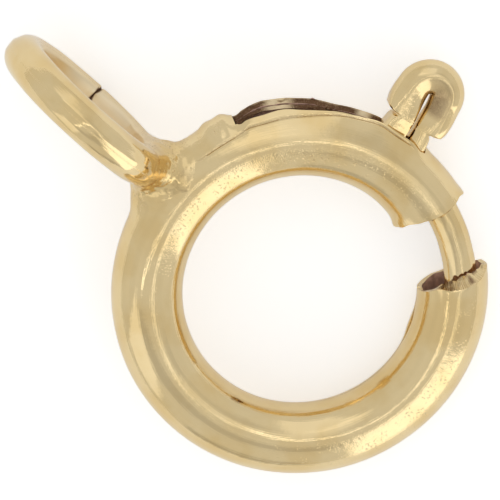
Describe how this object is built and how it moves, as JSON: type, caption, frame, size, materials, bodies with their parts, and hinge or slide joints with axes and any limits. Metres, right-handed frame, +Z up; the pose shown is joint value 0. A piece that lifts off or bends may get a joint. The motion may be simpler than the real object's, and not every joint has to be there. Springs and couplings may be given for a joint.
{
  "type": "spring ring clasp",
  "caption": "Round tube clasp with a sprung sliding bolt, a hairpin thumb trigger and a soldered eyelet that stands across the ring.",
  "frame": {"origin": "On the surface that the clasp lies on, under the middle of its box. The clasp lies as it rests by itself, on the far side of its ring and the low side of its eyelet.", "axes": "+Z up from the surface; +X from the eyelet towards the far side of the ring; +Y towards the trigger."},
  "size_m": [0.0136, 0.011, 0.0048],
  "materials": {
    "gold_tube": "polished pale rolled gold over brass, with fine pits, scuffs and a dulled brown bore",
    "gold_wire": "polished pale gold wire with drawing lines and tool marks",
    "spring_wire": "dull brown spring bronze"
  },
  "bodies": {
    "case": {"case": "gold_tube", "spring": "spring_wire"},
    "bolt": {"bolt": "gold_wire"}
  },
  "joints": [
    {"name": "bolt_slide", "type": "hinge", "parent": "case", "child": "bolt", "pos_m": [0.00236, -0.00097, 0.00142], "axis": [0.1481, 0.0474, 0.9878], "range_deg": [0, 46], "stiffness_Nm_per_rad": 0.004, "springref_deg": -28.65, "deforming": ["spring"]}
  ]
}
